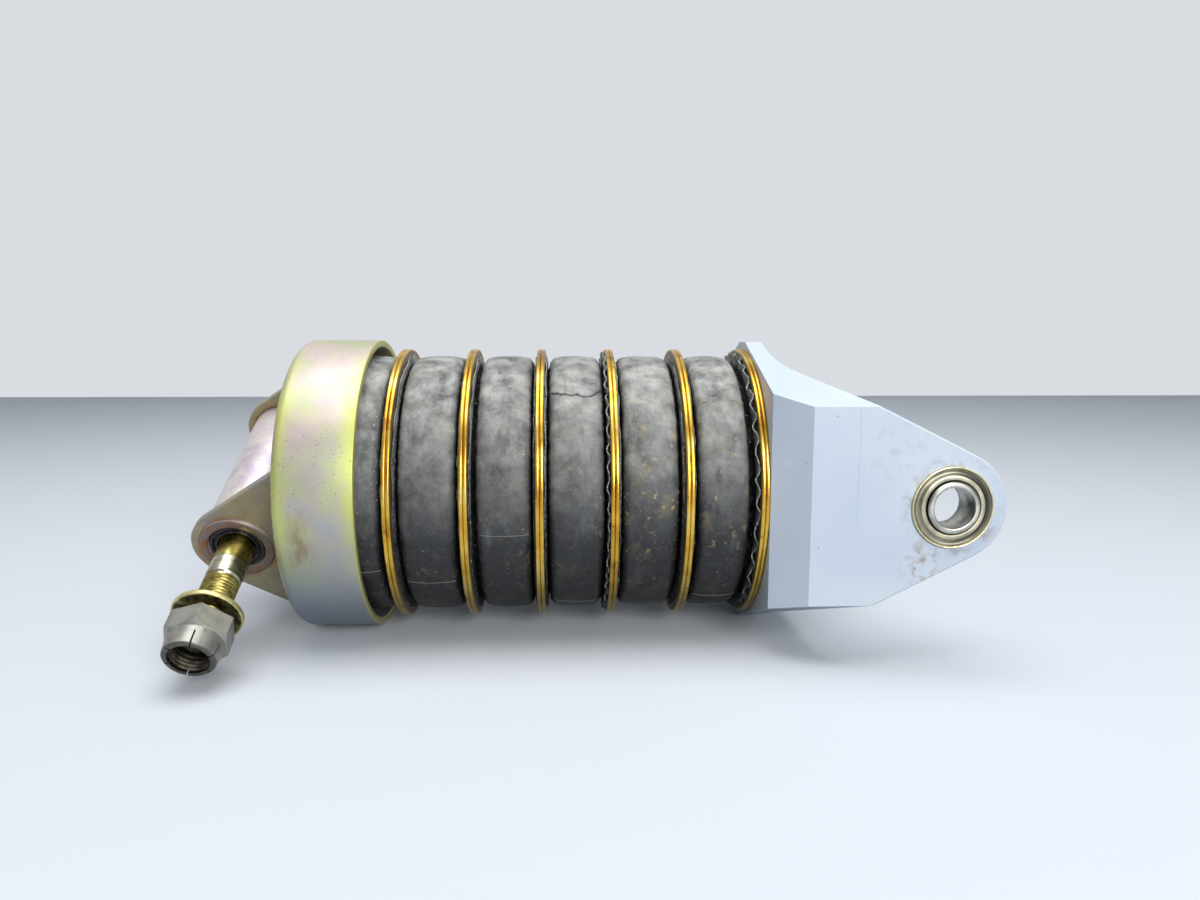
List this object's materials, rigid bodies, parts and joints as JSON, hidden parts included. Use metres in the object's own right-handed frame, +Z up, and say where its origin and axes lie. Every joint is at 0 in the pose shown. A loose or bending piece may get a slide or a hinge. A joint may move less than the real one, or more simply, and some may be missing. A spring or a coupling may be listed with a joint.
{
  "type": "landing gear strut",
  "caption": "Rubber-disc landing gear strut: a stack of bonded rubber discs on a guide rod between a forked lug bracket and a steel cup with a cross tube and clevis bolt.",
  "frame": {"origin": "centre of the fork's bearing bores, midway between the two lugs", "axes": "+X along the strut from the cup towards the fork, +Y along the bearing bores, +Z up with the strut lying on its side"},
  "size_m": [0.2585, 0.1314, 0.1016],
  "materials": {
    "bracket_paint": "pale blue-grey enamel, satin",
    "cadmium_chromate": "cadmium plate with iridescent chromate",
    "gold_dichromate": "bright gold dichromate on cadmium plate",
    "moulded_rubber": "dusty moulded rubber",
    "bearing_steel": "ground steel, lightly oiled",
    "machined_steel": "turned steel",
    "bolt_olive": "olive chromate on cadmium plate",
    "nut_cadmium": "dull cadmium plate",
    "bronze": "plain bearing bronze"
  },
  "bodies": {
    "fork": {"fork_bracket": "bracket_paint", "bearing_race_front": "bearing_steel", "bearing_race_rear": "bearing_steel", "guide_bush": "bronze", "fork_backing_plate": "gold_dichromate", "disc_6_fork_plate": "gold_dichromate", "rubber_disc_6": "moulded_rubber"},
    "plates_1": {"disc_1_fork_plate": "gold_dichromate", "disc_2_cup_plate": "gold_dichromate", "rubber_disc_1": "moulded_rubber"},
    "plates_2": {"disc_2_fork_plate": "gold_dichromate", "disc_3_cup_plate": "gold_dichromate", "rubber_disc_2": "moulded_rubber"},
    "plates_3": {"disc_3_fork_plate": "gold_dichromate", "disc_4_cup_plate": "gold_dichromate", "rubber_disc_3": "moulded_rubber"},
    "plates_4": {"disc_4_fork_plate": "gold_dichromate", "disc_5_cup_plate": "gold_dichromate", "rubber_disc_4": "moulded_rubber"},
    "plates_5": {"disc_5_fork_plate": "gold_dichromate", "disc_6_cup_plate": "gold_dichromate", "rubber_disc_5": "moulded_rubber"},
    "cup_plates": {"disc_1_cup_plate": "gold_dichromate", "cup_backing_plate": "gold_dichromate"},
    "cup": {"guide_rod": "machined_steel", "rod_washer": "nut_cadmium", "rod_nut": "nut_cadmium", "split_pin": "nut_cadmium", "cup_shell": "cadmium_chromate", "ear_front": "cadmium_chromate", "ear_rear": "cadmium_chromate", "cross_tube": "cadmium_chromate", "tube_bush_front": "bronze", "tube_bush_rear": "bronze", "dust_seal_front": "moulded_rubber", "dust_seal_rear": "moulded_rubber"},
    "head_washer": {"bolt_head_washer": "bolt_olive"},
    "bolt": {"clevis_bolt": "bolt_olive"},
    "nut_washer": {"bolt_nut_washer": "bolt_olive"},
    "nut": {"lock_nut": "nut_cadmium"},
    "ball_front": {"bearing_ball_front": "bearing_steel"},
    "ball_rear": {"bearing_ball_rear": "bearing_steel"}
  },
  "joints": [
    {"name": "stroke", "type": "slide", "parent": "fork", "child": "cup_plates", "axis": [1, 0, 0], "range_m": [0, 0.024], "stiffness_N_per_m": 200000, "deforming": ["rubber_disc_1", "rubber_disc_2", "rubber_disc_3", "rubber_disc_4", "rubber_disc_5", "rubber_disc_6"]},
    {"name": "plates_1_follow", "type": "slide", "parent": "fork", "child": "plates_1", "axis": [1, 0, 0], "range_m": [0, 0.02]},
    {"name": "plates_2_follow", "type": "slide", "parent": "fork", "child": "plates_2", "axis": [1, 0, 0], "range_m": [0, 0.016]},
    {"name": "plates_3_follow", "type": "slide", "parent": "fork", "child": "plates_3", "axis": [1, 0, 0], "range_m": [0, 0.012]},
    {"name": "plates_4_follow", "type": "slide", "parent": "fork", "child": "plates_4", "axis": [1, 0, 0], "range_m": [0, 0.008]},
    {"name": "plates_5_follow", "type": "slide", "parent": "fork", "child": "plates_5", "axis": [1, 0, 0], "range_m": [0, 0.004]},
    {"name": "cup_swivel", "type": "hinge", "parent": "cup_plates", "child": "cup", "pos_m": [-0.2, 0, 0], "axis": [1, 0, 0], "continuous": true},
    {"name": "bolt_draw", "type": "slide", "parent": "cup", "child": "head_washer", "axis": [0, 0.866, 0.5], "range_m": [0, 0.016]},
    {"name": "bolt_spin", "type": "hinge", "parent": "head_washer", "child": "bolt", "pos_m": [-0.2265, 0, 0], "axis": [0, 0.866, 0.5], "continuous": true},
    {"name": "nut_advance", "type": "slide", "parent": "bolt", "child": "nut_washer", "axis": [0, 0.866, 0.5], "range_m": [-0.006, 0.011]},
    {"name": "nut_turn", "type": "hinge", "parent": "nut_washer", "child": "nut", "pos_m": [-0.2265, 0, 0], "axis": [0, 0.866, 0.5], "range_deg": [-1620, 3060]},
    {"name": "ball_front_turn", "type": "hinge", "parent": "fork", "child": "ball_front", "pos_m": [0, 0, 0], "axis": [0, 1, 0], "continuous": true},
    {"name": "ball_rear_turn", "type": "hinge", "parent": "fork", "child": "ball_rear", "pos_m": [0, 0, 0], "axis": [0, 1, 0], "continuous": true}
  ],
  "couplings": [
    {"joint": "plates_1_follow", "follows": "stroke", "ratio": 0.83333},
    {"joint": "plates_2_follow", "follows": "stroke", "ratio": 0.66667},
    {"joint": "plates_3_follow", "follows": "stroke", "ratio": 0.5},
    {"joint": "plates_4_follow", "follows": "stroke", "ratio": 0.33333},
    {"joint": "plates_5_follow", "follows": "stroke", "ratio": 0.16667},
    {"joint": "nut_advance", "follows": "nut_turn", "m_per_rad": 0.00020213}
  ]
}
